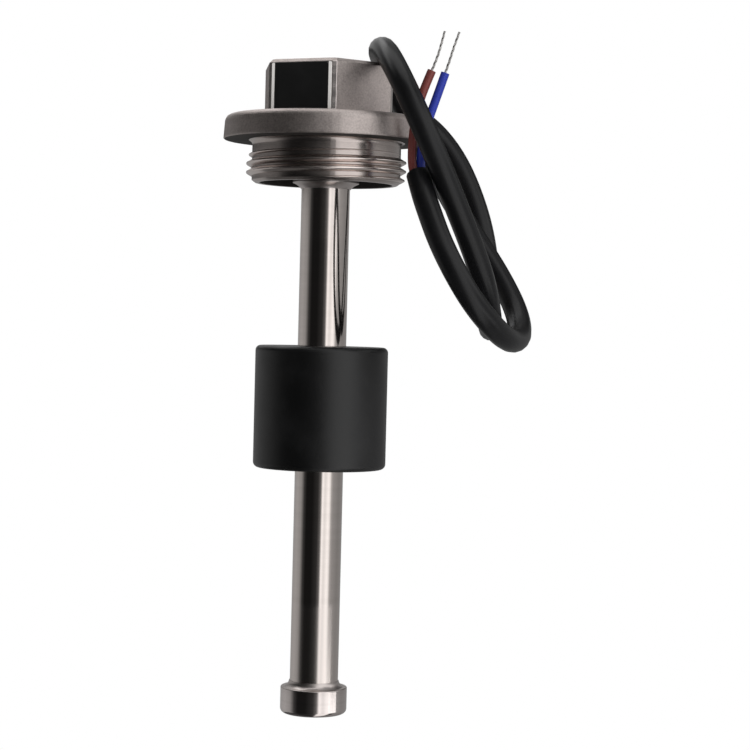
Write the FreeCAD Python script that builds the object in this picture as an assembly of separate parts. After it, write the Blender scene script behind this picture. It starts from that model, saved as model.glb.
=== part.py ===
import FreeCAD, Part
import math
import os
from FreeCAD import Vector

# Float level sensor for an oil tank: a threaded head, a stem with a sliding magnetic float, a ladder of
# reed switches inside the stem, and a two-core cable that leaves the side of the head.
# Millimetres. The origin is on the stem's axis, in the flange's seat face. +Z points out of the tank.

# Head casting
HEX_ACROSS_FLATS = 32.0
HEX_HEIGHT = 13.7            # above the flange
HEX_CORNER_FLAT = 1.15       # width of the flat on each upright corner
HEX_TOP_BEVEL = 0.9
SEAT_WIDTH = 6.145           # how far the flange stands out past the thread, at the seat face
FLANGE_THICKNESS = 6.3
FLANGE_DRAFT = 4.0           # degrees, narrower upwards
FLANGE_TOP_ROUND = 1.8
THREAD_DIAMETER = 41.91      # G 1 1/4 pipe thread, 11 turns to the inch
THREAD_DEPTH = 1.479         # crest to root
SPIGOT_LENGTH = 11.1         # seat face to the end of the thread
NECK_LENGTH = 2.7            # plain relief between the seat face and the thread
NECK_FILLET = 1.4
LEAD_IN_HEIGHT = 1.8         # chamfer on the thread's end
LEAD_IN_DEPTH = 2.3
SPIGOT_WALL = 2.28           # between the thread's root and the hollow under the spigot
RECESS_DEPTH = 9.0           # of that hollow, from the spigot's end
FLOOR_THICKNESS = 4.8        # between the hollow below and the potted well above
WELL_WALL = 3.5              # at the middle of each flat

# Stem
INSERTION_LENGTH = 150.0     # seat face to the lowest point
STEM_DIAMETER = 12.7
STEM_WALL = 1.0
STEM_STANDOUT = 2.0          # above the well's floor
COLLAR_WALL = 2.35
COLLAR_SINK = 0.2            # from the collar's rim up to the spigot's end
COLLAR_CONE_HEIGHT = 1.5
LIP = 0.15                   # thickness left at the thin edge of a cone
CONE_HOLLOW = 0.15           # how far the middle of a cone is dished, inwards and along the stem
WELD_FIT = 0.02              # radial gap between the stem and what is welded to it

# End stop
STOP_WALL = 2.4
STOP_HEIGHT = 7.0
STOP_BOTTOM_ROUND = 1.3
STOP_TOP_BEVEL = 0.4
STOP_SHOULDER = 0.7          # level ring between the bevel and the cone
STOP_CONE_HEIGHT = 1.6
STOP_FLOOR = 2.0             # solid end below the stem

# Float
FLOAT_DIAMETER = 34.8
FLOAT_HEIGHT = 32.0
FLOAT_CLEARANCE = 0.65       # radial, round the stem
FLOAT_ROUND = 1.4
FLOAT_BORE_BEVEL = 0.5
FLOAT_LEVEL = 0.4237         # where it stands, as a share of its travel from the top
MAGNET_THICKNESS = 3.9       # inner face of the ring to its outer face
MAGNET_HEIGHT = 10.0
MAGNET_SETBACK = 0.5         # inner face of the ring behind the bore
MAGNET_GAP = 0.1

# Reed switch ladder
BOARD_EDGE_GAP = 0.58        # from each edge of the board to the stem's inside
BOARD_THICKNESS = 1.0
BOARD_OFFSET = 1.2           # from the stem's axis to the component side
BOARD_STANDOUT = 9.0         # above the well's floor
BOARD_END_GAP = 1.5          # above the solid end of the stem
REED_DIAMETER = 1.8
REED_LENGTH = 9.0
REED_END_TAPER = 0.5
REED_SIDE = -2.2             # across the board, from its middle
REED_STANDOFF = 0.3
REED_GAP = 1.2               # at least, between the leads of one switch and the next
LEAD_DIAMETER = 0.5
LEAD_REACH = 1.5             # from the end of the glass to the corner
RESISTOR_SIZE = (3.2, 0.6, 1.6)
RESISTOR_SIDE = 2.2
SOLDER_FOOT = 1.6
SOLDER_TIP = 0.6
SOLDER_HEIGHT = 0.7

# Cable
CABLE_DIAMETER = 6.2
CABLE_FACE_ANGLE = 60.0      # degrees from +X, the flat that the cable leaves by
CABLE_DROP = 6.6             # from the hexagon's top down to the cable's axis
CABLE_STANDIN = 2.5          # from the well's wall to the cable's end inside it
CABLE_STRAIGHT = 7.0         # straight run outside the flat
GROMMET_WALL = 1.2
GROMMET_LIP_WIDTH = 1.0
GROMMET_LIP_THICKNESS = 1.0
CORE_DIAMETER = 2.2
CORE_SPREAD = 1.15           # from the cable's axis to each core's axis
CORE_RUN = 2.2               # straight run of a core at each end inside the well
CORE_TAIL_RUN = 3.0          # straight run of a core out of the cable's cut end
CORE_JOINT_DROP = 1.7        # from the board's top edge down to the solder joints
CORE_JOINT_SPREAD = 1.9      # from the board's middle to each solder joint
STRAND_DIAMETER = 0.9
POTTING_DROP = 1.2           # from the hexagon's top to the potting

# Blank label on a flat beside the front corner
LABEL_THICKNESS = 0.2
LABEL_SIDE_MARGIN = 0.12
LABEL_TOP_MARGIN = 0.15      # below the bevel of the hexagon's top
LABEL_FOOT_MARGIN = 0.45     # above the flange
LABEL_FACE_ANGLE = 240.0     # degrees from +X
LABEL_CORNER = 0.4

# Free route of the cable, from where it stops running straight to its cut end
CABLE_ROUTE = [
    (15.5, 26.2, 13.7), (20.8, 31.2, 13.3), (27.4, 34.0, 10.7), (34.4, 34.4, 5.4), (39.8, 32.8, -2.3),
    (43.6, 30.4, -11.4), (46.3, 28.0, -20.8), (47.7, 25.6, -31.0), (47.4, 21.0, -40.5), (46.2, 11.5, -47.3),
    (44.6, -1.0, -48.3), (42.4, -11.5, -43.9), (39.7, -17.5, -35.5), (35.5, -21.0, -26.0),
    (30.5, -25.0, -16.0), (25.5, -28.5, -6.0), (21.0, -30.0, 3.0), (17.2, -27.8, 11.5), (14.6, -21.5, 18.5),
    (13.2, -12.5, 23.3), (13.1, -2.5, 24.5), (14.2, 7.0, 24.3), (16.6, 15.0, 21.7), (20.2, 20.4, 16.0),
    (24.4, 22.4, 8.5), (29.0, 21.6, 0.0), (33.6, 19.4, -9.0), (38.5, 16.2, -17.8), (43.7, 12.6, -26.1),
    (48.6, 8.8, -34.5), (52.0, 4.0, -42.5), (52.2, -3.2, -48.3), (49.8, -11.6, -50.9), (45.6, -19.8, -50.5),
    (40.4, -27.0, -46.9), (35.0, -31.6, -41.5), (30.2, -33.4, -34.5), (26.2, -32.4, -26.7),
    (23.7, -29.4, -19.3), (22.2, -26.0, -13.7), (21.4, -23.2, -9.3),
]
# Each core from where it leaves the cable's line to where its insulation stops, then its bare strands
BROWN_ROUTE = [(19.8, -21.7, -2.1), (20.1, -22.3, 3.1), (21.1, -22.4, 8.3), (22.6, -22.5, 12.9),
               (24.2, -22.7, 16.9)]
BROWN_STRANDS = [(25.48, -22.86, 20.1), (26.4, -23.0, 23.5), (27.2, -23.1, 26.9)]
BLUE_ROUTE = [(22.2, -22.0, -2.4), (23.0, -22.5, 2.2), (24.5, -22.8, 7.0), (26.1, -22.9, 11.8),
              (27.6, -23.1, 16.4)]
BLUE_STRANDS = [(28.65, -23.24, 19.62), (29.65, -23.3, 23.2), (30.9, -23.4, 26.8)]

ARC_SHARE = 0.45             # share of the shorter run that an arc takes

UP = Vector(0, 0, 1)
BACK = Vector(0, 1, 0)
ORIGIN = Vector(0, 0, 0)
HEX_SIDES = 6
hex_top = FLANGE_THICKNESS + HEX_HEIGHT
thread_root = THREAD_DIAMETER / 2 - THREAD_DEPTH
recess_radius = thread_root - SPIGOT_WALL
recess_top = RECESS_DEPTH - SPIGOT_LENGTH
well_radius = HEX_ACROSS_FLATS / 2 - WELL_WALL
well_floor = recess_top + FLOOR_THICKNESS
cable_height = hex_top - CABLE_DROP
grommet_diameter = CABLE_DIAMETER + 2 * GROMMET_WALL

stem_bore = STEM_DIAMETER / 2 - STEM_WALL
socket_radius = STEM_DIAMETER / 2 + WELD_FIT
stop_floor = STOP_FLOOR - INSERTION_LENGTH
stop_top = STOP_HEIGHT - INSERTION_LENGTH
stop_tip = stop_top + STOP_CONE_HEIGHT
collar_rim = COLLAR_SINK - SPIGOT_LENGTH
collar_tip = collar_rim - COLLAR_CONE_HEIGHT
float_travel = collar_tip - stop_tip - FLOAT_HEIGHT
float_top = collar_tip - FLOAT_LEVEL * float_travel
float_bottom = float_top - FLOAT_HEIGHT
float_bore = STEM_DIAMETER / 2 + FLOAT_CLEARANCE

board_top = well_floor + BOARD_STANDOUT
board_bottom = stop_floor + BOARD_END_GAP
board_back = BOARD_OFFSET + BOARD_THICKNESS
board_half = math.sqrt(stem_bore ** 2 - board_back ** 2) - BOARD_EDGE_GAP
reed_depth = BOARD_OFFSET - REED_STANDOFF - REED_DIAMETER / 2
reed_pitch = REED_LENGTH + 2 * LEAD_REACH + LEAD_DIAMETER + REED_GAP


def around(angle):
    """Outward direction in the level plane, in degrees from +X."""
    return Vector(math.cos(math.radians(angle)), math.sin(math.radians(angle)), 0)


def turned(outline):
    """Solid of revolution about Z. An outline has (radius, height) points, or a pair of them for an arc."""
    place = lambda p: Vector(p[0], 0, p[1])
    edges = []
    here = outline[0]
    for step in outline[1:] + [outline[0]]:
        if isinstance(step[0], tuple):
            middle, end = step
            edges.append(Part.Arc(place(here), place(middle), place(end)).toShape())
        else:
            end = step
            edges.append(Part.LineSegment(place(here), place(end)).toShape())
        here = end
    return Part.Face(Part.Wire(edges)).revolve(ORIGIN, UP, 360)


def corner_arc(centre, radius, start, end):
    """Arc step for an outline, from one angle to another, in degrees from outwards towards up."""
    def at(angle):
        turn = math.radians(angle)
        return centre[0] + radius * math.cos(turn), centre[1] + radius * math.sin(turn)
    return at((start + end) / 2), at(end)


def dished_cone(rim, tip):
    """Arc step for an outline, from a cone's rim to its tip on the stem, a little hollow on the way."""
    backwards = math.copysign(CONE_HOLLOW, rim[1] - tip[1])
    return ((rim[0] + tip[0]) / 2 - CONE_HOLLOW, (rim[1] + tip[1]) / 2 + backwards), tip


def rod(diameter, low, high):
    """Round bar about the stem's axis between two heights."""
    return Part.makeCylinder(diameter / 2, high - low, Vector(0, 0, low), UP)


def spoke(diameter, inner, outer):
    """Round bar on the cable's exit line, between two distances from the stem's axis."""
    out = around(CABLE_FACE_ANGLE)
    return Part.makeCylinder(diameter / 2, outer - inner, out * inner + UP * cable_height, out)


def tube_path(points, radii=None):
    """Straight runs joined by tangent arcs, each as large as its two runs allow."""
    points = [Vector(*p) for p in points]
    edges = []
    here = points[0]
    for before, at, after in zip(points, points[1:], points[2:]):
        into, out = at - before, after - at
        turn = into.getAngle(out)
        cut = ARC_SHARE * min(into.Length, out.Length)
        radius = cut / math.tan(turn / 2)
        if radii is not None:
            radii.append(radius)
        into.normalize()
        out.normalize()
        start, end = at - into * cut, at + out * cut
        inward = out - into
        inward.normalize()
        middle = at + inward * (radius / math.cos(turn / 2) - radius)
        edges.append(Part.LineSegment(here, start).toShape())
        edges.append(Part.Arc(start, middle, end).toShape())
        here = end
    edges.append(Part.LineSegment(here, points[-1]).toShape())
    return Part.Wire(edges)


def tube_along(name, points, diameter):
    """Round bar along a route. Prints its length, its radii and how well its volume fits."""
    radii = []
    path = tube_path(points, radii)
    along = Vector(*points[1]) - Vector(*points[0])
    ring = Part.Wire(Part.makeCircle(diameter / 2, Vector(*points[0]), along))
    solid = path.makePipeShell([ring], True, False)
    fit = solid.Volume / (math.pi * diameter ** 2 / 4 * path.Length)
    print(name, "length %.1f" % path.Length, "volume / (section x length) %.4f" % fit)
    print("  radii in diameters:", " ".join("%.1f" % (r / diameter) for r in radii))
    return solid


def hexagon(low, high):
    """Upright hexagonal bar with a corner on -Y and a narrow flat on every corner."""
    half_angle = math.pi / HEX_SIDES
    reach = HEX_ACROSS_FLATS / 2 / math.cos(half_angle) - HEX_CORNER_FLAT / 2 * math.tan(half_angle)
    points = []
    for k in range(HEX_SIDES):
        out = around(k * 360 / HEX_SIDES - 90)
        along = UP.cross(out)
        for side in (-0.5, 0.5):
            points.append(out * reach + along * (side * HEX_CORNER_FLAT) + UP * low)
    return Part.Face(Part.makePolygon(points + points[:1])).extrude(UP * (high - low))


def at_height(shape, height):
    """Edges that lie level at a height."""
    level = lambda box: abs(box.ZMin - height) < 1e-6 and abs(box.ZMax - height) < 1e-6
    return [e for e in shape.Edges if level(e.BoundBox)]


def head_casting():
    """Flange, hexagon and threaded spigot in one casting, hollow below and with an open well above."""
    major = THREAD_DIAMETER / 2
    flange = major + SEAT_WIDTH
    flange_top = flange - FLANGE_THICKNESS * math.tan(math.radians(FLANGE_DRAFT))
    body = turned([
        (0, -SPIGOT_LENGTH), (major - LEAD_IN_DEPTH, -SPIGOT_LENGTH),
        (major, LEAD_IN_HEIGHT - SPIGOT_LENGTH), (major, -NECK_LENGTH - THREAD_DEPTH),
        (thread_root, -NECK_LENGTH), (thread_root, -NECK_FILLET),
        corner_arc((thread_root + NECK_FILLET, -NECK_FILLET), NECK_FILLET, 180, 90),
        (flange, 0), (flange_top, FLANGE_THICKNESS), (0, FLANGE_THICKNESS),
    ])
    body = body.makeFillet(FLANGE_TOP_ROUND, at_height(body, FLANGE_THICKNESS))
    bar = hexagon(well_floor, hex_top)
    bar = bar.makeChamfer(HEX_TOP_BEVEL, at_height(bar, hex_top))
    body = body.fuse(bar).removeSplitter()
    body = body.cut(rod(2 * recess_radius, -SPIGOT_LENGTH, recess_top))
    body = body.cut(rod(2 * well_radius, well_floor, hex_top))
    body = body.cut(rod(2 * socket_radius, recess_top, well_floor))
    return body.cut(spoke(grommet_diameter, 0, HEX_ACROSS_FLATS))


def stem_tube():
    outer = rod(STEM_DIAMETER, stop_floor, well_floor + STEM_STANDOUT)
    return outer.cut(rod(2 * stem_bore, stop_floor, well_floor + STEM_STANDOUT))


def stem_collar():
    """Ring on the stem that seats against the head's floor, with a cone on its lower end."""
    rim = STEM_DIAMETER / 2 + COLLAR_WALL
    return turned([
        (socket_radius, recess_top), (rim, recess_top), (rim, collar_rim),
        dished_cone((rim, collar_rim), (socket_radius + LIP, collar_tip)), (socket_radius, collar_tip),
    ])


def end_stop():
    """Cup that closes the stem's lower end, with a cone that the float comes down on."""
    rim = STEM_DIAMETER / 2 + STOP_WALL
    inset = rim - STOP_BOTTOM_ROUND
    top_edge = rim - STOP_TOP_BEVEL
    cone_rim = (top_edge - STOP_SHOULDER, stop_top)
    return turned([
        (0, -INSERTION_LENGTH), (inset, -INSERTION_LENGTH),
        corner_arc((inset, STOP_BOTTOM_ROUND - INSERTION_LENGTH), STOP_BOTTOM_ROUND, -90, 0),
        (rim, stop_top - STOP_TOP_BEVEL), (top_edge, stop_top), cone_rim,
        dished_cone(cone_rim, (socket_radius + LIP, stop_tip)), (socket_radius, stop_tip),
        (socket_radius, stop_floor), (0, stop_floor),
    ])


def magnet_span():
    """Lower and upper height of the groove that holds the magnet, half way up the float."""
    middle = (float_top + float_bottom) / 2
    return middle - MAGNET_HEIGHT / 2, middle + MAGNET_HEIGHT / 2


def float_body():
    wall = FLOAT_DIAMETER / 2
    inset = wall - FLOAT_ROUND
    mouth = float_bore + FLOAT_BORE_BEVEL
    groove = float_bore + MAGNET_SETBACK + MAGNET_THICKNESS + MAGNET_GAP
    low, high = magnet_span()
    return turned([
        (mouth, float_bottom), (inset, float_bottom),
        corner_arc((inset, float_bottom + FLOAT_ROUND), FLOAT_ROUND, -90, 0),
        (wall, float_top - FLOAT_ROUND),
        corner_arc((inset, float_top - FLOAT_ROUND), FLOAT_ROUND, 0, 90),
        (mouth, float_top), (float_bore, float_top - FLOAT_BORE_BEVEL),
        (float_bore, high), (groove, high), (groove, low), (float_bore, low),
        (float_bore, float_bottom + FLOAT_BORE_BEVEL),
    ])


def float_magnet():
    """Ring magnet that rests in the float's groove, a little back from the bore."""
    low, high = magnet_span()
    inner = float_bore + MAGNET_SETBACK
    ring = rod(2 * (inner + MAGNET_THICKNESS), low, high - MAGNET_GAP)
    return ring.cut(rod(2 * inner, low, high))


def sensor_board():
    corner = Vector(-board_half, BOARD_OFFSET, board_bottom)
    return Part.makeBox(2 * board_half, BOARD_THICKNESS, board_top - board_bottom, corner)


def reed_heights():
    """Even steps over the magnet's travel, as many as the switches' length allows."""
    steps = int(float_travel / reed_pitch)
    highest = collar_tip - FLOAT_HEIGHT / 2
    return [highest - float_travel * k / steps for k in range(steps + 1)]


def reed_capsules():
    """Glass bodies of the reed switches, upright along the board."""
    capsules = []
    for height in reed_heights():
        foot = Vector(REED_SIDE, reed_depth, height - REED_LENGTH / 2)
        glass = Part.makeCylinder(REED_DIAMETER / 2, REED_LENGTH, foot, UP)
        ends = at_height(glass, foot.z) + at_height(glass, foot.z + REED_LENGTH)
        capsules.append(glass.makeChamfer(REED_END_TAPER, ends))
    return Part.makeCompound(capsules)


def reed_leads():
    """Two wires from each capsule, with a corner down to the board."""
    leads = []
    for height in reed_heights():
        for side in (-1, 1):
            start = Vector(REED_SIDE, reed_depth, height + side * REED_LENGTH / 2)
            corner = start + UP * (side * LEAD_REACH)
            reach = LEAD_REACH + LEAD_DIAMETER / 2
            along = Part.makeCylinder(LEAD_DIAMETER / 2, reach, start, UP * side)
            down = Part.makeCylinder(LEAD_DIAMETER / 2, BOARD_OFFSET - reed_depth, corner, BACK)
            leads.append(along.fuse(down).removeSplitter())
    return Part.makeCompound(leads)


def ladder_resistors():
    """One chip resistor beside each reed switch, on the component side of the board."""
    length, thickness, width = RESISTOR_SIZE
    chips = []
    for height in reed_heights():
        corner = Vector(RESISTOR_SIDE - width / 2, BOARD_OFFSET - thickness, height - length / 2)
        chips.append(Part.makeBox(width, thickness, length, corner))
    return Part.makeCompound(chips)


def joint_places():
    """Where the two cores meet the back of the board, brown first."""
    height = board_top - CORE_JOINT_DROP
    return [Vector(side * CORE_JOINT_SPREAD, board_back, height) for side in (-1, 1)]


def solder_joints():
    """Solder cones on the component side, where the cores come through the board."""
    cones = []
    for place in joint_places():
        foot = Vector(place.x, BOARD_OFFSET, place.z)
        cones.append(Part.makeCone(SOLDER_FOOT / 2, SOLDER_TIP / 2, SOLDER_HEIGHT, foot, -BACK))
    return Part.makeCompound(cones)


def inner_core(name, place, side):
    """Insulated core from the cable's inner end to the back of the board."""
    out = around(CABLE_FACE_ANGLE)
    across = out.cross(UP)
    start = out * (well_radius - CABLE_STANDIN) + UP * cable_height + across * (side * CORE_SPREAD)
    points = [start, start - out * CORE_RUN, place + BACK * CORE_RUN, place]
    return tube_along(name, [tuple(p) for p in points], CORE_DIAMETER)


def tail_core(name, route, side):
    """Insulated core from the cable's cut end along its route, beside the other core."""
    end = Vector(*CABLE_ROUTE[-1])
    along = end - Vector(*CABLE_ROUTE[-2])
    along.normalize()
    across = along.cross(UP)
    across.normalize()
    start = end + across * (side * CORE_SPREAD)
    return tube_along(name, [tuple(start), tuple(start + along * CORE_TAIL_RUN)] + route, CORE_DIAMETER)


def cable_grommet():
    """Rubber bush in the hexagon's wall, with a lip against the flat."""
    flat = HEX_ACROSS_FLATS / 2
    lip = grommet_diameter + 2 * GROMMET_LIP_WIDTH
    bush = spoke(grommet_diameter, well_radius, flat)
    bush = bush.fuse(spoke(lip, flat, flat + GROMMET_LIP_THICKNESS))
    return bush.cut(spoke(CABLE_DIAMETER, 0, HEX_ACROSS_FLATS))


def cable_jacket():
    ends = (well_radius - CABLE_STANDIN, HEX_ACROSS_FLATS / 2 + CABLE_STRAIGHT)
    exit_run = [around(CABLE_FACE_ANGLE) * reach + UP * cable_height for reach in ends]
    return tube_along("cable_jacket", [tuple(p) for p in exit_run] + CABLE_ROUTE, CABLE_DIAMETER)


def potting_fill(buried):
    """Resin that fills the well round everything that stands in it."""
    fill = rod(2 * well_radius, well_floor, hex_top - POTTING_DROP)
    for piece in buried:
        fill = fill.cut(piece)
    return max(fill.Solids, key=lambda s: s.Volume)


def blank_label():
    """Thin plain plate on the flat, with its long side level."""
    low = FLANGE_THICKNESS + LABEL_FOOT_MARGIN
    high = hex_top - HEX_TOP_BEVEL - LABEL_TOP_MARGIN
    half_angle = math.pi / HEX_SIDES
    flat_width = HEX_ACROSS_FLATS * math.tan(half_angle) - HEX_CORNER_FLAT / math.cos(half_angle)
    width = flat_width - 2 * LABEL_SIDE_MARGIN
    plate = Part.makeBox(LABEL_THICKNESS, width, high - low)
    plate = plate.makeFillet(LABEL_CORNER, [e for e in plate.Edges if abs(e.tangentAt(0).x) > 0.5])
    plate.translate(Vector(HEX_ACROSS_FLATS / 2, -width / 2, low))
    plate.rotate(ORIGIN, UP, LABEL_FACE_ANGLE)
    return plate


def build():
    brown_place, blue_place = joint_places()
    nodes = {
        "head_casting": head_casting(),
        "stem_tube": stem_tube(),
        "stem_collar": stem_collar(),
        "end_stop": end_stop(),
        "float_body": float_body(),
        "float_magnet": float_magnet(),
        "sensor_board": sensor_board(),
        "reed_capsules": reed_capsules(),
        "reed_leads": reed_leads(),
        "ladder_resistors": ladder_resistors(),
        "solder_joints": solder_joints(),
        "brown_core": inner_core("brown_core", brown_place, -1),
        "blue_core": inner_core("blue_core", blue_place, 1),
        "cable_grommet": cable_grommet(),
        "cable_jacket": cable_jacket(),
        "brown_wire": tail_core("brown_wire", BROWN_ROUTE, -1),
        "brown_strands": tube_along("brown_strands", BROWN_ROUTE[-1:] + BROWN_STRANDS, STRAND_DIAMETER),
        "blue_wire": tail_core("blue_wire", BLUE_ROUTE, 1),
        "blue_strands": tube_along("blue_strands", BLUE_ROUTE[-1:] + BLUE_STRANDS, STRAND_DIAMETER),
        "blank_label": blank_label(),
    }
    buried = ["stem_tube", "sensor_board", "solder_joints", "brown_core", "blue_core", "cable_jacket",
              "cable_grommet"]
    nodes["potting_fill"] = potting_fill([nodes[name] for name in buried])
    return nodes


os.makedirs("parts", exist_ok=True)
for node, shape in build().items():
    if not shape.isValid():
        print("invalid:", node)
    shape.exportStep("parts/" + node + ".step")
    print(node, "solids", len(shape.Solids), "volume %.1f" % shape.Volume)
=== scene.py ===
import math
import bmesh
import bpy
from mathutils import Matrix, Vector


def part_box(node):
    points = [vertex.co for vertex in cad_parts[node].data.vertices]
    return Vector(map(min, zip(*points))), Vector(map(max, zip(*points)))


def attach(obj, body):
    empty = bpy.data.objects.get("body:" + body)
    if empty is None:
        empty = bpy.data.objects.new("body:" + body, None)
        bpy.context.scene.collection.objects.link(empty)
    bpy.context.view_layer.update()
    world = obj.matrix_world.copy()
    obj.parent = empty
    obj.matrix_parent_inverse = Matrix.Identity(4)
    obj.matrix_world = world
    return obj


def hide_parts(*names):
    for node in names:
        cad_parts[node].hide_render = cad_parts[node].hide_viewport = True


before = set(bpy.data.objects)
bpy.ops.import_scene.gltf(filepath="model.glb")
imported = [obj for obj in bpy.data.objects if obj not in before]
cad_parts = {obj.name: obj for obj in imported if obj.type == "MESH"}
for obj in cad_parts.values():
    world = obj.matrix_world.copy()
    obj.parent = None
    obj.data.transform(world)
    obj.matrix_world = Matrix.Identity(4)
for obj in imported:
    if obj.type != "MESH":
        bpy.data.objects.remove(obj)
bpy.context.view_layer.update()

mm = 0.001
tiny = 1e-7     # metres: points closer than this count as one
body = {"fixed": "sensor", "moving": "float"}
print("frame loaded:", len(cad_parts), "nodes")


def addObject(name, data):
    piece = bpy.data.objects.new(name, data)
    bpy.context.collection.objects.link(piece)
    return piece


# camera: seen from a little left of the front corner, the lens a little above the float
# in pixels of the picture: its width, the focal length, and the horizon's height above the middle
framePixels, focalPixels, horizonPixels = 750, 2134, 53
cameraView = {
    "turn": math.radians(-6.2),     # about the stem, from the -Y side
    "distance": 560 * mm,
    "aside": 14.1 * mm,
    "height": -46.8 * mm,
    "pitch": math.atan(horizonPixels / focalPixels),    # downwards
    "roll": math.radians(1.43),
    "focal": focalPixels / framePixels,                 # in frame widths
    "sensor": 36,
    "nearest": 10 * mm,
}


def addCamera(v):
    right = Vector((math.cos(v["turn"]), math.sin(v["turn"]), 0))
    ahead = Vector((-right.y, right.x, 0))
    up = Vector((0, 0, 1))
    place = right * v["aside"] - ahead * v["distance"] + up * v["height"]
    look = ahead * math.cos(v["pitch"]) - up * math.sin(v["pitch"])
    top = ahead * math.sin(v["pitch"]) + up * math.cos(v["pitch"])
    side = right * math.cos(v["roll"]) + top * math.sin(v["roll"])
    top = top * math.cos(v["roll"]) - right * math.sin(v["roll"])
    data = bpy.data.cameras.new("photoCamera")
    data.sensor_width = v["sensor"]
    data.lens = v["focal"] * data.sensor_width
    data.clip_start = v["nearest"]
    camera = addObject("photoCamera", data)
    camera.matrix_world = Matrix((side, top, -look)).transposed().to_4x4()
    camera.location = place
    bpy.context.scene.camera = camera
    return right, ahead


viewRight, viewAhead = addCamera(cameraView)
nodeGap = (200, 160)    # between the columns and rows of a node tree


# small helpers for node trees
def put(tree, kind, x, y, **settings):
    node = tree.nodes.new(kind)
    node.location = (x * nodeGap[0], y * nodeGap[1])
    for key, value in settings.items():
        setattr(node, key, value)
    return node


def join(tree, *pairs):
    for start, end in pairs:
        tree.links.new(start, end)


# each node's first output into the next one's first input
def chain(tree, *nodes):
    for first, second in zip(nodes, nodes[1:]):
        tree.links.new(first.outputs[0], second.inputs[0])


# a value is a plain number or the socket that it comes from
def maths(tree, operation, x, y, *values):
    node = put(tree, "ShaderNodeMath", x, y, operation=operation)
    for socket, value in zip(node.inputs, values):
        if isinstance(value, (int, float)):
            socket.default_value = value
        else:
            tree.links.new(value, socket)
    return node.outputs[0]


def makeGroup(name, kind, ins, outs):
    tree = bpy.data.node_groups.new(name, kind)
    for label, socketType, value in ins:
        socket = tree.interface.new_socket(label, in_out="INPUT", socket_type=socketType)
        if value is not None:
            socket.default_value = value
    for label, socketType in outs:
        tree.interface.new_socket(label, in_out="OUTPUT", socket_type=socketType)
    start = put(tree, "NodeGroupInput", -6, 0)
    end = put(tree, "NodeGroupOutput", 6, 0)
    return tree, start, end


def makeShapeGroup(name, values, counts):
    geometry = "NodeSocketGeometry"
    ins = [("Geometry", geometry, None), ("Finish", "NodeSocketMaterial", None)]
    ins += [(label, "NodeSocketInt" if label in counts else "NodeSocketFloat", None) for label in values]
    return makeGroup(name, "GeometryNodeTree", ins, [("Geometry", geometry)])


# blasted or moulded grain, a fine pebble over a slow drift: size, output, noise detail and roughness, row
grainLayers = [("Grain Size", "Height", 3, 0.62, 1), ("Drift Size", "Drift", 4, 0.55, -1)]


def makeGrainGroup(layers):
    tree, start, end = makeGroup(
        "surfaceGrain", "ShaderNodeTree",
        [("Place", "NodeSocketVector", None), ("Grain Size", "NodeSocketFloat", 0.4 * mm),
         ("Drift Size", "NodeSocketFloat", 8 * mm)],
        [("Height", "NodeSocketFloat"), ("Drift", "NodeSocketFloat")])
    for size, output, detail, roughness, row in layers:
        noise = put(tree, "ShaderNodeTexNoise", -2, row)
        noise.inputs["Detail"].default_value = detail
        noise.inputs["Roughness"].default_value = roughness
        join(tree, (start.outputs["Place"], noise.inputs["Vector"]),
             (maths(tree, "DIVIDE", -4, row, 1, start.outputs[size]), noise.inputs["Scale"]),
             (noise.outputs["Fac"], end.inputs[output]))
    return tree


# lines left by a cutting tool, round the stem's axis: output, noise detail, scale, row
turningLayers = [("Height", 2, 1.0, 1), ("Tone", 3, 0.06, -1)]


def makeTurningGroup(layers):
    tree, start, end = makeGroup(
        "turningLines", "ShaderNodeTree",
        [("Place", "NodeSocketVector", None), ("Line Width", "NodeSocketFloat", 0.12 * mm)],
        [("Height", "NodeSocketFloat"), ("Tone", "NodeSocketFloat")])
    split = put(tree, "ShaderNodeSeparateXYZ", -5, 0)
    tree.links.new(start.outputs["Place"], split.inputs[0])
    x, y, z = split.outputs
    squareX, squareY = maths(tree, "MULTIPLY", -4, 1, x, x), maths(tree, "MULTIPLY", -4, 0, y, y)
    radius = maths(tree, "SQRT", -2, 1, maths(tree, "ADD", -3, 1, squareX, squareY))
    along = maths(tree, "ADD", -1, 0, radius, z)
    perLine = maths(tree, "DIVIDE", -1, -1, 1, start.outputs["Line Width"])
    for output, detail, scale, row in layers:
        noise = put(tree, "ShaderNodeTexNoise", 1, row, noise_dimensions="1D")
        noise.inputs["Detail"].default_value = detail
        join(tree, (along, noise.inputs["W"]), (noise.outputs["Fac"], end.inputs[output]),
             (maths(tree, "MULTIPLY", 0, 2 * row, perLine, scale), noise.inputs["Scale"]))
    return tree


grainGroup = makeGrainGroup(grainLayers)
turningGroup = makeTurningGroup(turningLayers)


def newMaterial(name):
    material = bpy.data.materials.new(name)
    material.use_nodes = True
    return material, material.node_tree, material.node_tree.nodes["Principled BSDF"]


def startMaterial(name, base, metallic, roughness):
    material, tree, shader = newMaterial(name)
    shader.inputs["Base Color"].default_value = (*base, 1)
    shader.inputs["Metallic"].default_value = metallic
    shader.inputs["Roughness"].default_value = roughness
    place = put(tree, "ShaderNodeTexCoord", -8, 0)
    return material, tree, shader, place.outputs["Object"]


def useGroup(tree, group, place, sizes):
    node = put(tree, "ShaderNodeGroup", -6, 0, node_tree=group)
    tree.links.new(place, node.inputs["Place"])
    for label, value in sizes.items():
        node.inputs[label].default_value = value
    return node.outputs


def useGrain(tree, place, v):
    return useGroup(tree, grainGroup, place, {"Grain Size": v["grain"], "Drift Size": v["drift"]})


def useLines(tree, place, v):
    return useGroup(tree, turningGroup, place, {"Line Width": v["line"]})


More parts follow.
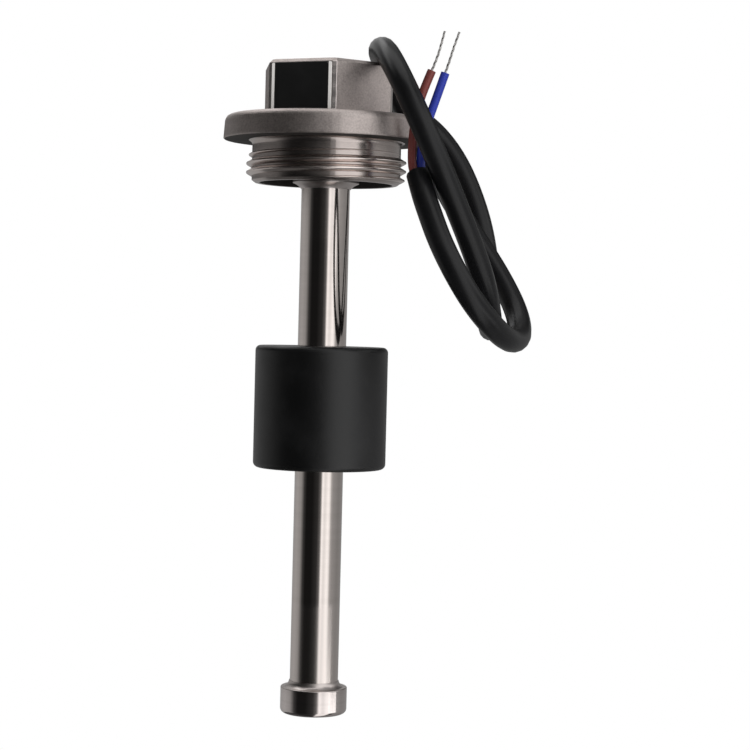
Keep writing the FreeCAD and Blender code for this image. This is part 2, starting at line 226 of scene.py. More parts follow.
def coat(tree, shader, colour, rough, height, depth, strength):
    bump = put(tree, "ShaderNodeBump", -2, -3)
    bump.inputs["Strength"].default_value = strength
    bump.inputs["Distance"].default_value = depth
    join(tree, (colour, shader.inputs["Base Color"]), (rough, shader.inputs["Roughness"]),
         (height, bump.inputs["Height"]), (bump.outputs["Normal"], shader.inputs["Normal"]))


def spread(tree, value, low, high, x, y, fromLow=0.3, fromHigh=0.7):
    node = put(tree, "ShaderNodeMapRange", x, y)
    node.inputs["From Min"].default_value = fromLow
    node.inputs["From Max"].default_value = fromHigh
    node.inputs["To Min"].default_value = low
    node.inputs["To Max"].default_value = high
    tree.links.new(value, node.inputs["Value"])
    return node.outputs["Result"]


# the colour sockets of a Mix node come after those of its other types
def mixColours(tree, factor, first, second, x, y):
    mix = put(tree, "ShaderNodeMix", x, y, data_type="RGBA")
    for socket, value in ((mix.inputs[0], factor), (mix.inputs[6], first), (mix.inputs[7], second)):
        if isinstance(value, tuple):
            socket.default_value = (*value, 1)
        else:
            tree.links.new(value, socket)
    return mix.outputs[2]


def twoTone(tree, value, low, high, x, y, fromLow=0.3, fromHigh=0.7):
    ramp = put(tree, "ShaderNodeValToRGB", x, y)
    for mark, position, colour in zip(ramp.color_ramp.elements, (fromLow, fromHigh), (low, high)):
        mark.position = position
        mark.color = (*colour, 1)
    tree.links.new(value, ramp.inputs["Fac"])
    return ramp.outputs["Color"]


castSteel = {
    "dark": (0.335, 0.296, 0.280), "light": (0.53, 0.472, 0.450),
    "grain": 0.45 * mm, "drift": 7 * mm, "depth": 0.035 * mm, "rough": (0.40, 0.54),
    "speck": (0.36, 0.64), "driftShare": 0.3,
}


def makeCastSteel(name, v):
    material, tree, shader, place = startMaterial(name, v["light"], metallic=1.0, roughness=0.4)
    grain = useGrain(tree, place, v)
    speck = put(tree, "ShaderNodeMix", -4, 2)
    speck.inputs[0].default_value = v["driftShare"]
    tone = twoTone(tree, speck.outputs[0], v["dark"], v["light"], -3, 1, *v["speck"])
    rough = spread(tree, grain["Height"], *v["rough"], -3, 0)
    join(tree, (grain["Height"], speck.inputs[2]), (grain["Drift"], speck.inputs[3]))
    coat(tree, shader, tone, rough, grain["Height"], v["depth"], strength=0.6)
    return material


def makeTurnedSteel(name, v):
    material, tree, shader, place = startMaterial(name, v["light"], metallic=1.0, roughness=0.2)
    lines = useLines(tree, place, v)
    tone = twoTone(tree, lines["Tone"], v["dark"], v["light"], -3, 1)
    rough = spread(tree, lines["Tone"], *v["rough"], -3, 0)
    coat(tree, shader, tone, rough, lines["Height"], v["depth"], strength=0.5)
    return material


neckSteel = {"dark": (0.40, 0.355, 0.334), "light": (0.52, 0.462, 0.436), "line": 0.10 * mm,
             "depth": 0.003 * mm, "rough": (0.22, 0.29)}
threadSteel = {"dark": (0.58, 0.515, 0.485), "light": (0.70, 0.622, 0.587), "line": 0.10 * mm,
               "depth": 0.004 * mm, "rough": (0.19, 0.25)}
turnedSteel = {"dark": (0.57, 0.520, 0.500), "light": (0.64, 0.585, 0.565), "line": 0.12 * mm,
               "depth": 0.003 * mm, "rough": (0.08, 0.14)}
collarSteel = {"dark": (0.50, 0.455, 0.435), "light": (0.60, 0.545, 0.525), "line": 0.12 * mm,
               "depth": 0.003 * mm, "rough": (0.30, 0.38)}
stemSteel = {
    "dark": (0.57, 0.520, 0.490), "light": (0.62, 0.565, 0.535), "line": 0.15 * mm, "depth": 0.0015 * mm,
    "polished": 0.085, "topSatin": 0.13, "footSatin": 0.19, "topBand": -26.0 * mm, "footBand": -121.0 * mm,
    "fade": 0.8 * mm, "satinTone": 3.0, "toneRange": (0.4, 1.1),
}


# polished stem: a satin band at the top and a longer one at the foot
def makeStemSteel(v):
    material, tree, shader, place = startMaterial("stemSteel", v["light"], 1.0, v["polished"])
    lines = useLines(tree, place, v)
    split = put(tree, "ShaderNodeSeparateXYZ", -6, -2)
    tree.links.new(place, split.inputs[0])
    inTop = spread(tree, split.outputs["Z"], 0, v["topSatin"] - v["polished"], -5, -2,
                   v["topBand"] - v["fade"], v["topBand"] + v["fade"])
    inFoot = spread(tree, split.outputs["Z"], v["footSatin"], v["polished"], -5, -3,
                    v["footBand"] - v["fade"], v["footBand"] + v["fade"])
    satin = maths(tree, "ADD", -4, -2, inTop, inFoot)
    duller = maths(tree, "MULTIPLY_ADD", -4, 1, satin, v["satinTone"], lines["Tone"])
    tone = twoTone(tree, duller, v["dark"], v["light"], -3, 1, *v["toneRange"])
    coat(tree, shader, tone, satin, lines["Height"], v["depth"], strength=0.5)
    return material


# everything that isn't bare metal or glass shares one build, the painted shade under the flange and in the
# spigot's hollow too
def makeMoulded(name, v, wornRange=(0.45, 0.85)):
    material, tree, shader, place = startMaterial(name, v["base"], 0.0, v["rough"][0])
    shader.inputs["Specular IOR Level"].default_value = v.get("gloss", 0.5)
    grain = useGrain(tree, place, v)
    tone = twoTone(tree, grain["Drift"], v["base"], v["worn"], -3, 1, *wornRange)
    rough = spread(tree, grain["Drift"], *v["rough"], -3, 0)
    coat(tree, shader, tone, rough, grain["Height"], v["depth"], strength=0.5)
    return material


# label film: the black field ends in a pale strip at each side
def makeLabelFilm(v):
    material = makeMoulded("labelFilm", v)
    tree = material.node_tree
    colour = tree.nodes["Principled BSDF"].inputs["Base Color"]
    field = colour.links[0].from_socket
    place = put(tree, "ShaderNodeTexCoord", -6, 3)
    across = put(tree, "ShaderNodeVectorMath", -5, 3, operation="DOT_PRODUCT")
    across.inputs[1].default_value = v["across"]
    tree.links.new(place.outputs["Object"], across.inputs[0])
    away = maths(tree, "ABSOLUTE", -4, 3, across.outputs["Value"])
    inStrip = spread(tree, away, 0, 1, -3, 3, v["stripAt"] - v["stripBlur"], v["stripAt"] + v["stripBlur"])
    tree.links.new(mixColours(tree, inStrip, field, v["strip"], -1, 3), colour)
    return material


floatFoam = {"base": (0.0016, 0.0016, 0.0018), "worn": (0.005, 0.005, 0.0054), "rough": (0.38, 0.46),
             "gloss": 0.45, "grain": 0.22 * mm, "drift": 9 * mm, "depth": 0.02 * mm}
cableSheath = {"base": (0.0035, 0.0035, 0.004), "worn": (0.006, 0.006, 0.0065), "rough": (0.30, 0.40),
               "gloss": 0.28, "grain": 0.35 * mm, "drift": 12 * mm, "depth": 0.006 * mm}
# painted shade: a dark dull skin laid under the flange and inside the spigot's hollow, where shade falls
paintedShade = {"base": (0.020, 0.018, 0.016), "worn": (0.036, 0.032, 0.029), "rough": (0.60, 0.72),
            "gloss": 0.2, "grain": 0.45 * mm, "drift": 5 * mm, "depth": 0.03 * mm}
brownSheath = {"base": (0.125, 0.027, 0.023), "worn": (0.155, 0.038, 0.032), "rough": (0.38, 0.5),
               "gloss": 0.3, "grain": 0.3 * mm, "drift": 5 * mm, "depth": 0.006 * mm}
blueSheath = {"base": (0.011, 0.023, 0.23), "worn": (0.017, 0.032, 0.28), "rough": (0.38, 0.5),
              "gloss": 0.3, "grain": 0.3 * mm, "drift": 5 * mm, "depth": 0.006 * mm}
labelFilm = {"base": (0.006, 0.006, 0.006), "worn": (0.008, 0.008, 0.008), "rough": (0.42, 0.50),
             "gloss": 0.3, "grain": 0.15 * mm, "drift": 6 * mm, "depth": 0.003 * mm,
             "strip": (0.62, 0.60, 0.58), "stripAt": 7.62 * mm, "stripBlur": 0.04 * mm,
             "across": (0.866, -0.5, 0)}    # level, along the label's flat
grommetRubber = {"base": (0.012, 0.012, 0.012), "worn": (0.02, 0.02, 0.02), "rough": (0.5, 0.62),
                 "grain": 0.3 * mm, "drift": 4 * mm, "depth": 0.012 * mm}
pottingResin = {"base": (0.008, 0.008, 0.009), "worn": (0.012, 0.012, 0.013), "rough": (0.14, 0.24),
                "grain": 2.5 * mm, "drift": 9 * mm, "depth": 0.03 * mm}
boardMask = {"base": (0.015, 0.10, 0.045), "worn": (0.02, 0.14, 0.06), "rough": (0.3, 0.4),
             "grain": 0.3 * mm, "drift": 6 * mm, "depth": 0.005 * mm}
resistorGlaze = {"base": (0.015, 0.015, 0.017), "worn": (0.03, 0.03, 0.03), "rough": (0.25, 0.35),
                 "grain": 0.1 * mm, "drift": 2 * mm, "depth": 0.004 * mm}
ferrite = {"base": (0.035, 0.034, 0.033), "worn": (0.06, 0.058, 0.055), "rough": (0.55, 0.7),
           "grain": 0.15 * mm, "drift": 3 * mm, "depth": 0.02 * mm}
tinnedWire = {"dark": (0.38, 0.37, 0.36), "light": (0.66, 0.64, 0.62), "rough": (0.22, 0.38),
              "grain": 0.12 * mm, "drift": 1.5 * mm, "depth": 0.008 * mm}
reedGlass = {"base": (0.80, 0.90, 0.84), "rough": (0.03, 0.08), "clear": 0.9,
             "grain": 0.5 * mm, "drift": 3 * mm}


def makeTinned(v):
    material, tree, shader, place = startMaterial("tinnedWire", v["light"], metallic=1.0, roughness=0.3)
    grain = useGrain(tree, place, v)
    tone = twoTone(tree, grain["Drift"], v["dark"], v["light"], -3, 1)
    rough = spread(tree, grain["Height"], *v["rough"], -3, 0)
    coat(tree, shader, tone, rough, grain["Height"], v["depth"], strength=0.4)
    return material


def makeReedGlass(v):
    material, tree, shader, place = startMaterial("reedGlass", v["base"], 0.0, v["rough"][0])
    shader.inputs["Transmission Weight"].default_value = v["clear"]
    grain = useGrain(tree, place, v)
    tree.links.new(spread(tree, grain["Drift"], *v["rough"], -3, 0), shader.inputs["Roughness"])
    return material


finish = {
    "cast": makeCastSteel("castSteel", castSteel),
    "paintedShade": makeMoulded("paintedShade", paintedShade),
    "neck": makeTurnedSteel("neckSteel", neckSteel),
    "thread": makeTurnedSteel("threadSteel", threadSteel),
    "turned": makeTurnedSteel("turnedSteel", turnedSteel),
    "collar": makeTurnedSteel("collarSteel", collarSteel),
    "stem": makeStemSteel(stemSteel),
    "float": makeMoulded("floatFoam", floatFoam),
    "cable": makeMoulded("cableSheath", cableSheath),
    "brown": makeMoulded("brownSheath", brownSheath),
    "blue": makeMoulded("blueSheath", blueSheath),
    "label": makeLabelFilm(labelFilm),
    "grommet": makeMoulded("grommetRubber", grommetRubber),
    "potting": makeMoulded("pottingResin", pottingResin),
    "board": makeMoulded("boardMask", boardMask),
    "resistor": makeMoulded("resistorGlaze", resistorGlaze),
    "ferrite": makeMoulded("ferrite", ferrite),
    "tinned": makeTinned(tinnedWire),
    "glass": makeReedGlass(reedGlass),
}
print("finishes made:", len(finish))


# outlines and turned meshes
def soften(points, steps=4):
    # points are (radius, height, round): each corner with a round becomes an arc of that radius
    outline = []
    count = len(points)
    for k, (r, z, bend) in enumerate(points):
        at = Vector((r, z))
        before = Vector(points[k - 1][:2]) - at
        after = Vector(points[(k + 1) % count][:2]) - at
        if bend == 0:
            outline.append(at)
            continue
        before.normalize()
        after.normalize()
        half = before.angle(after) / 2
        centre = at + (before + after).normalized() * (bend / math.sin(half))
        start = at + before * (bend / math.tan(half)) - centre
        end = at + after * (bend / math.tan(half)) - centre
        sweep = start.angle_signed(end)
        for s in range(steps + 1):
            outline.append(centre + Matrix.Rotation(-sweep * s / steps, 2) @ start)
    return outline


# a point close to each end of a long run keeps the shading of the run flat
def holdEdges(outline, closed=True, gap=0.06 * mm, longRun=6):
    held = []
    for here, after in zip(outline, outline[1:] + outline[:1] if closed else outline[1:]):
        held.append(here)
        run = after - here
        if run.length > longRun * gap:
            held += [here + run.normalized() * gap, after - run.normalized() * gap]
    return held if closed else held + outline[-1:]


def addRing(mesh, r, z, segments):
    if r < tiny:
        return [mesh.verts.new((0, 0, z))]
    angles = [2 * math.pi * k / segments for k in range(segments)]
    return [mesh.verts.new((r * math.cos(a), r * math.sin(a), z)) for a in angles]


def bridge(mesh, first, second, faceMaterial=0):
    # quads or triangles between two rings of vertices; a ring of one vertex is a pole
    count = max(len(first), len(second))
    for k in range(count):
        n = (k + 1) % count
        corners = [ring[m % len(ring)] for ring, m in ((first, k), (first, n), (second, n), (second, k))]
        mesh.faces.new(list(dict.fromkeys(corners))).material_index = faceMaterial


def turnMesh(name, outline, segments, nearAxis=0.1 * mm):
    mesh = bmesh.new()
    rings = [addRing(mesh, r, z, segments) for r, z in holdEdges(outline) if not tiny < r < nearAxis]
    for first, second in zip(rings, rings[1:] + rings[:1]):
        if len(first) + len(second) > 2:
            bridge(mesh, first, second)
    return finishMesh(name, mesh)


def finishMesh(name, mesh, sharp=38):
    bmesh.ops.remove_doubles(mesh, verts=mesh.verts, dist=tiny)
    bmesh.ops.recalc_face_normals(mesh, faces=mesh.faces)
    data = bpy.data.meshes.new(name)
    mesh.to_mesh(data)
    mesh.free()
    data.shade_smooth()
    data.set_sharp_from_angle(angle=math.radians(sharp))
    return addObject(name, data)


def dress(piece, finishNames, nodes=(), bodyName=body["fixed"]):
    if len(piece.data.materials):       # clearing also resets the faces' material numbers
        piece.data.materials.clear()
    for name in finishNames:
        piece.data.materials.append(finish[name])
    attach(piece, bodyName)
    if nodes:
        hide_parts(*nodes)


# head: one loft of rings, from the hexagon's well over the flange to the hollow under the spigot
headLow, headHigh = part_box("head_casting")
stemLow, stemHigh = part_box("stem_tube")
collarLow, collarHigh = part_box("stem_collar")
head = {
    "acrossFlats": 32 * mm, "cornerFlat": 1.15 * mm, "cornerRound": 0.3 * mm, "topBevel": 0.9 * mm,
    "footFillet": 0.7 * mm, "flange": headHigh[0], "flangeTop": 6.3 * mm, "flangeDraft": math.radians(4),
    "flangeRound": 1.8 * mm, "rimRound": 0.35 * mm, "hexTop": headHigh[2], "spigotEnd": headLow[2],
    "crest": 20.955 * mm, "root": 19.476 * mm, "neckFillet": 1.4 * mm, "leadIn": 2.3 * mm,
    "leadInFoot": 0.6 * mm, "endRound": 0.1 * mm, "hollow": 17.196 * mm, "hollowTop": collarHigh[2],
    "hollowEdge": 0.25 * mm, "hollowRound": 0.6 * mm, "well": 12.5 * mm, "wellFloor": 2.7 * mm,
    "socket": stemHigh[0] + 0.02 * mm, "step": 2.4 * mm, "filletSteps": 5, "sharp": 27,
    # eased edges, in mm: in and up from the bevel's foot and head, out and up from the well's edge
    "bevelFoot": [(0, -0.12), (0.04, 0), (0.12, 0.10)],
    "bevelHead": [(-0.10, -0.12), (-0.02, -0.04), (0.10, 0)],
    "wellEdge": [(0.35, 0), (0.1, -0.1), (0, -0.35)],
    # where the finish changes: height above the seat, share of the neck's fillet, distance past the hollow's
    # wall, and degrees from a corner, on faces whose normal rises no more than this
    "castAbove": 0.05 * mm, "neckShare": 0.55, "shadePast": 0.3 * mm, "cornerSpread": 1.9, "upright": 0.5,
}
headFinishes = ["cast", "neck", "paintedShade", "turned"]


def hexOutline(v):
    corners = []
    half = math.pi / 6
    reach = v["acrossFlats"] / 2 / math.cos(half) - v["cornerFlat"] / 2 * math.tan(half)
    for k in range(6):
        a = math.radians(60 * k - 90)
        out = Vector((math.cos(a), math.sin(a)))
        along = Vector((-out.y, out.x))
        for side in (-0.5, 0.5):
            corners.append((*(out * reach + along * (side * v["cornerFlat"])), v["cornerRound"]))
    rounded = holdEdges(soften(corners, steps=3))
    outline = []
    for here, after in zip(rounded, rounded[1:] + rounded[:1]):
        cuts = max(1, round((after - here).length / v["step"]))
        outline += [here.lerp(after, c / cuts) for c in range(cuts)]
    return outline


def makeHead(v):
    mesh = bmesh.new()
    outer = hexOutline(v)
    around = [p.normalized() for p in outer]
    cast, neck, shaded, turned = range(len(headFinishes))

    def hexRing(inset, z):
        # the full outline, shrunk towards the axis, so that the rings stay in step
        shrink = 1 - inset / (v["acrossFlats"] / 2)
        return [mesh.verts.new((p.x * shrink, p.y * shrink, z)) for p in outer]

    def roundRing(r, z):
        return [mesh.verts.new((d.x * r, d.y * r, z)) for d in around]

    def finishAt(r, z):
        if z > v["castAbove"]:
            return cast
        # faces under the flange and inside the spigot's hollow get the painted shade, which stands in for the
        # shade there
        under = r > v["root"] + v["neckShare"] * v["neckFillet"] or r < v["hollow"] + v["shadePast"]
        return shaded if under else neck

    def held(points):
        return holdEdges([Vector(p) for p in points], closed=False)

    base, end = v["flangeTop"], v["spigotEnd"]
    below = soften([
        (v["socket"], base, 0), (v["flange"] - base * math.tan(v["flangeDraft"]), base, v["flangeRound"]),
        (v["flange"], 0, v["rimRound"]), (v["root"], 0, v["neckFillet"]),
        (v["root"], end + v["leadInFoot"], 0), (v["crest"] - v["leadIn"], end, v["endRound"]),
        (v["hollow"], end, v["hollowEdge"]),
        (v["hollow"], v["hollowTop"], v["hollowRound"]), (v["socket"], v["hollowTop"], 0),
    ], steps=6)[1:]
    hexSide = []
    for s in range(v["filletSteps"] + 1):
        t = math.pi / 2 * s / v["filletSteps"]
        hexSide.append((-v["footFillet"] * (1 - math.sin(t)), base + v["footFillet"] * (1 - math.cos(t))))
    bevelLow = v["hexTop"] - v["topBevel"]
    hexSide += [(x * mm, bevelLow + z * mm) for x, z in v["bevelFoot"]]
    hexSide += [(v["topBevel"] + x * mm, v["hexTop"] + z * mm) for x, z in v["bevelHead"]]
    wellLine = [(v["well"] + x * mm, v["hexTop"] + z * mm) for x, z in v["wellEdge"]]
    wellLine += [(v["well"], v["wellFloor"]), (v["socket"], v["wellFloor"])]

    rings = [(roundRing(r, z), finishAt(r, z)) for r, z in reversed(held(below))]
    rings += [(hexRing(inset, z), cast) for inset, z in held(hexSide)]
    rings += [(roundRing(r, z), cast) for r, z in held(wellLine)]
    for (first, mark), (second, nextMark) in zip(rings, rings[1:] + rings[:1]):
        bridge(mesh, first, second, min(mark, nextMark))
    # the hexagon's corners were turned, so they shine
    mesh.normal_update()
    for face in mesh.faces:
        middle = face.calc_center_median()
        offCorner = abs((math.degrees(math.atan2(middle.y, middle.x)) + 120) % 60 - 30)
        upright = abs(face.normal.z) < v["upright"] and middle.z > base
        if upright and middle.xy.length > v["acrossFlats"] / 2 and offCorner < v["cornerSpread"]:
            face.material_index = turned
    return finishMesh("headCasting", mesh, v["sharp"])


headPiece = makeHead(head)
print("head lofted:", len(headPiece.data.polygons), "faces")

# thread: one ridge swept along a helix, which shrinks to almost nothing at both ends
thread = {
    "Pitch": 25.4 / 11 * mm, "Root": head["root"], "Depth": head["crest"] - head["root"],
    "Bottom": head["spigotEnd"] + 0.64 * mm, "Top": -2.9 * mm, "Lead In": 0.95 * mm, "Run Out": 1.75 * mm,
    "Phase": -7.37 * mm, "Foot Width": 2.22 * mm, "Crest Width": 0.42 * mm, "Crest Round": 0.20 * mm,
    "Sink": 0.10 * mm, "Least Scale": 0.02, "Steps": 120,
}


def makeThreadTree():
    tree, start, end = makeShapeGroup("threadRidge", thread, ("Steps",))
    sizes = start.outputs

    # right-handed helix, turned so that its crest meets +X at the phase height
    rise = maths(tree, "SUBTRACT", -5, 5, sizes["Top"], sizes["Bottom"])
    spiral = put(tree, "GeometryNodeCurveSpiral", -3, 5)
    spiral.inputs["Reverse"].default_value = True
    belowPhase = maths(tree, "SUBTRACT", -5, 4, sizes["Bottom"], sizes["Phase"])
    ahead = maths(tree, "DIVIDE", -4, 4, belowPhase, sizes["Pitch"])
    lift = put(tree, "ShaderNodeCombineXYZ", -3, 3)
    turn = put(tree, "ShaderNodeCombineXYZ", -2, 3)
    placed = put(tree, "GeometryNodeTransform", -1, 5)
    upright = put(tree, "GeometryNodeSetCurveNormal", 0, 5, mode="Z_UP")
    join(tree, (sizes["Steps"], spiral.inputs["Resolution"]),
         (maths(tree, "DIVIDE", -4, 5, rise, sizes["Pitch"]), spiral.inputs["Rotations"]),
         (sizes["Root"], spiral.inputs["Start Radius"]), (sizes["Root"], spiral.inputs["End Radius"]),
         (rise, spiral.inputs["Height"]), (sizes["Bottom"], lift.inputs["Z"]),
         (maths(tree, "MULTIPLY", -3, 4, ahead, 2 * math.pi), turn.inputs["Z"]),
         (lift.outputs[0], placed.inputs["Translation"]), (turn.outputs[0], placed.inputs["Rotation"]))

    # section: a trapezoid with a rounded crest, its foot sunk into the spigot
    full = maths(tree, "ADD", -5, 1, sizes["Depth"], sizes["Sink"])
    section = put(tree, "GeometryNodeCurvePrimitiveQuadrilateral", -3, 1, mode="TRAPEZOID")
    section.inputs["Offset"].default_value = 0
    softened = put(tree, "GeometryNodeFilletCurve", -2, 1)
    stoodUp = put(tree, "GeometryNodeTransform", -1, 1)
    stoodUp.inputs["Rotation"].default_value = (0, 0, math.radians(-90))
    outward = put(tree, "ShaderNodeCombineXYZ", -2, 0)
    middle = maths(tree, "SUBTRACT", -3, 0, sizes["Depth"], maths(tree, "MULTIPLY", -4, 0, full, 0.5))
    join(tree, (full, section.inputs["Height"]), (sizes["Foot Width"], section.inputs["Bottom Width"]),
         (sizes["Crest Width"], section.inputs["Top Width"]), (middle, outward.inputs["X"]),
         (sizes["Crest Round"], softened.inputs["Radius"]),
         (outward.outputs[0], stoodUp.inputs["Translation"]))
    chain(tree, section, softened, stoodUp)

    # the ridge shrinks into the spigot at the lead-in and at the neck
    where = put(tree, "GeometryNodeInputPosition", -5, -1)
    split = put(tree, "ShaderNodeSeparateXYZ", -4, -1)
    chain(tree, where, split)
    height = split.outputs["Z"]
    aboveBottom = maths(tree, "SUBTRACT", -3, -1, height, sizes["Bottom"])
    belowTop = maths(tree, "SUBTRACT", -3, -2, sizes["Top"], height)
    fromBottom = maths(tree, "DIVIDE", -2, -1, aboveBottom, sizes["Lead In"])
    fromTop = maths(tree, "DIVIDE", -2, -2, belowTop, sizes["Run Out"])
    share = maths(tree, "MINIMUM", 0, -1, maths(tree, "MINIMUM", -1, -1, fromBottom, fromTop), 1)
    ridge = put(tree, "GeometryNodeCurveToMesh", 2, 3)
    ridge.inputs["Fill Caps"].default_value = True
    whole = put(tree, "GeometryNodeRealizeInstances", 3, 3)
    coated = put(tree, "GeometryNodeSetMaterial", 4, 3)
    join(tree, (maths(tree, "MAXIMUM", 1, -1, share, sizes["Least Scale"]), ridge.inputs["Scale"]),
         (stoodUp.outputs[0], ridge.inputs["Profile Curve"]), (sizes["Finish"], coated.inputs["Material"]))
    chain(tree, spiral, placed, upright, ridge, whole, coated, end)
    return tree


# runs a node tree on an object and leaves a plain mesh in its place
def growMesh(name, tree, values, source=None):
    if source is None:
        source = addObject(name + "Seed", bpy.data.meshes.new(name + "Seed"))
    modifier = source.modifiers.new("grow", "NODES")
    modifier.node_group = tree
    for item in tree.interface.items_tree:
        if item.in_out == "INPUT" and item.name in values:
            modifier[item.identifier] = values[item.name]
    bpy.context.view_layer.update()
    ready = source.evaluated_get(bpy.context.evaluated_depsgraph_get())
    grown = bpy.data.meshes.new_from_object(ready)
    source.modifiers.remove(modifier)
    bpy.data.objects.remove(source)
    mesh = bmesh.new()
    mesh.from_mesh(grown)
    bpy.data.meshes.remove(grown)
    return finishMesh(name, mesh)


dress(headPiece, headFinishes, ["head_casting"])
threadPiece = growMesh("threadRidge", makeThreadTree(), dict(thread, Finish=finish["thread"]))
dress(threadPiece, ["thread"])
reach = max(math.hypot(p.co.x, p.co.y) for p in threadPiece.data.vertices)
print("thread grown:", len(threadPiece.data.polygons), "faces, crest radius %.3f mm" % (reach / mm))


# stem, collar and end stop, all turned
stopLow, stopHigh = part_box("end_stop")
stem = {"wall": 1.0 * mm, "edge": 0.15 * mm, "segments": 128}
collar = {"coneHeight": 1.5 * mm, "lip": 0.15 * mm, "hollow": 0.15 * mm, "edge": 0.15 * mm, "segments": 112}
stop = {"height": 7.0 * mm, "bottomRound": 1.3 * mm, "topRound": 0.35 * mm, "coneFoot": 7.65 * mm,
        "coneEdge": 0.08 * mm, "lip": 0.15 * mm, "hollow": 0.15 * mm, "floor": 2.0 * mm,
        "shoulderFacing": 0.2, "segments": 128}


# a cone between its rim and its tip on the stem, dished a little on the way
def dishedCone(rim, tip, hollow, steps=6):
    rim, tip = Vector(rim), Vector(tip)
    inward = Vector((-hollow, math.copysign(hollow, rim.y - tip.y)))
    shares = [s / steps for s in range(1, steps)]
    return [(*(rim.lerp(tip, t) + inward * (4 * t * (1 - t))), 0) for t in shares]


def makeStem(v):
    outer, low, high = stemHigh[0], stemLow[2], stemHigh[2]
    inner = outer - v["wall"]
    outline = [(outer, low, 0), (outer, high, v["edge"]), (inner, high, v["edge"]), (inner, low, 0)]
    piece = turnMesh("stemTube", soften(outline, steps=3), v["segments"])
    dress(piece, ["stem"], ["stem_tube"])


def makeCollar(v):
    rim, bore = collarHigh[0], head["socket"]
    low, high = collarLow[2], collarHigh[2]
    coneRim, coneTip = (rim, low + v["coneHeight"]), (bore + v["lip"], low)
    outline = soften([(bore, high, 0), (rim, high, 0), (*coneRim, v["edge"])]
                     + dishedCone(coneRim, coneTip, v["hollow"]) + [(*coneTip, 0), (bore, low, 0)])
    piece = turnMesh("stemCollar", outline, v["segments"])
    dress(piece, ["collar"], ["stem_collar"])


def makeStop(v):
    rim, bore = stopHigh[0], head["socket"]
    low, tip = stopLow[2], stopHigh[2]
    shoulder, floor = low + v["height"], low + v["floor"]
    coneRim, coneTip = (v["coneFoot"], shoulder), (bore + v["lip"], tip)
    outline = soften([(0, low, 0), (rim, low, v["bottomRound"]), (rim, shoulder, v["topRound"]),
                      (*coneRim, v["coneEdge"])] + dishedCone(coneRim, coneTip, v["hollow"])
                     + [(*coneTip, 0), (bore, tip, 0), (bore, floor, 0), (0, floor, 0)], steps=7)
    piece = turnMesh("endStop", outline, v["segments"])
    for face in piece.data.polygons:
        # the shoulder was left as turned, the rim was polished
        face.material_index = 1 if face.normal.z > v["shoulderFacing"] else 0
    dress(piece, ["turned", "collar"], ["end_stop"])


makeStem(stem)
makeCollar(collar)
makeStop(stop)

# float with its bore and the groove that holds the magnet
floatLow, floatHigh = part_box("float_body")
magnetLow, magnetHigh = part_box("float_magnet")
floatSizes = {"edge": 1.4 * mm, "bore": 7.0 * mm, "boreEdge": 0.45 * mm, "groove": 11.5 * mm,
              "grooveGap": 0.1 * mm, "segments": 160}


def makeFloat(v):
    wall = floatHigh[0]
    low, high = floatLow[2], floatHigh[2]
    groove = (magnetLow[2], magnetHigh[2] + v["grooveGap"])
    outline = [(v["bore"], low, v["boreEdge"]), (wall, low, v["edge"]), (wall, high, v["edge"]),
               (v["bore"], high, v["boreEdge"]), (v["bore"], groove[1], 0), (v["groove"], groove[1], 0),
               (v["groove"], groove[0], 0), (v["bore"], groove[0], 0)]
    piece = turnMesh("floatBody", soften(outline, steps=8), v["segments"])
    dress(piece, ["float"], ["float_body"], body["moving"])


makeFloat(floatSizes)
print("stem and float turned")


# cable and its two cores: the route's points, in mm, are the spline's control points
cable = {
    "diameter": 6.2 * mm, "length": 400 * mm, "exit": (8.5 * mm, 14.7 * mm, 13.4 * mm),
    "route": [
        (5.0, 8.66, 13.4), (11.5, 19.92, 13.4),
        (15.5, 26.2, 13.7), (20.8, 31.2, 13.3), (27.4, 34.0, 10.7), (34.4, 34.4, 5.4), (39.8, 32.8, -2.3),
        (43.6, 30.4, -11.4), (46.3, 28.0, -20.8), (47.7, 25.6, -31.0), (47.4, 21.0, -40.5),
        (46.2, 11.5, -47.3), (44.6, -1.0, -48.3), (42.4, -11.5, -43.9), (39.7, -17.5, -35.5),
        (35.5, -21.0, -26.0), (30.5, -25.0, -16.0), (25.5, -28.5, -6.0), (21.0, -30.0, 3.0),
        (17.2, -27.8, 11.5), (14.6, -21.5, 18.5), (13.2, -12.5, 23.3), (13.1, -2.5, 24.5), (14.2, 7.0, 24.3),
        (16.6, 15.0, 21.7), (20.2, 20.4, 16.0), (24.4, 22.4, 8.5), (29.0, 21.6, 0.0), (33.6, 19.4, -9.0),
        (38.5, 16.2, -17.8), (43.7, 12.6, -26.1), (48.6, 8.8, -34.5), (52.0, 4.0, -42.5),
        (52.2, -3.2, -48.3), (49.8, -11.6, -50.9), (45.6, -19.8, -50.5), (40.4, -27.0, -46.9),
        (35.0, -31.6, -41.5), (30.2, -33.4, -34.5), (26.2, -32.4, -26.7), (23.7, -29.4, -19.3),
        (22.2, -26.0, -13.7), (21.4, -23.2, -9.3),
    ],
}
cores = {
    "diameter": 2.2 * mm, "beside": 1.15, "sunk": 1.0, "run": 3.0,
    "brown": [(19.8, -21.7, -2.1), (20.1, -22.3, 3.1), (21.1, -22.4, 8.3), (22.6, -22.5, 12.9),
              (24.2, -22.7, 16.9)],
    "blue": [(22.2, -22.0, -2.4), (23.0, -22.5, 2.2), (24.5, -22.8, 7.0), (26.1, -22.9, 11.8),
             (27.6, -23.1, 16.4)],
}
strands = {
    "brown": [(24.2, -22.7, 16.9), (25.48, -22.86, 20.1), (26.4, -23.0, 23.5), (27.2, -23.1, 26.9)],
    "blue": [(27.6, -23.1, 16.4), (28.65, -23.24, 19.62), (29.65, -23.3, 23.2), (30.9, -23.4, 26.8)],
    "tree": {"Count": 3, "Sides": 8, "Strand Radius": 0.16 * mm, "Bundle Radius": 0.20 * mm, "Turns": 2.2,
             "Tip Scale": 0.85, "Step": 0.15 * mm},
}
curveDetail = {"order": 3, "along": 10, "around": 6}


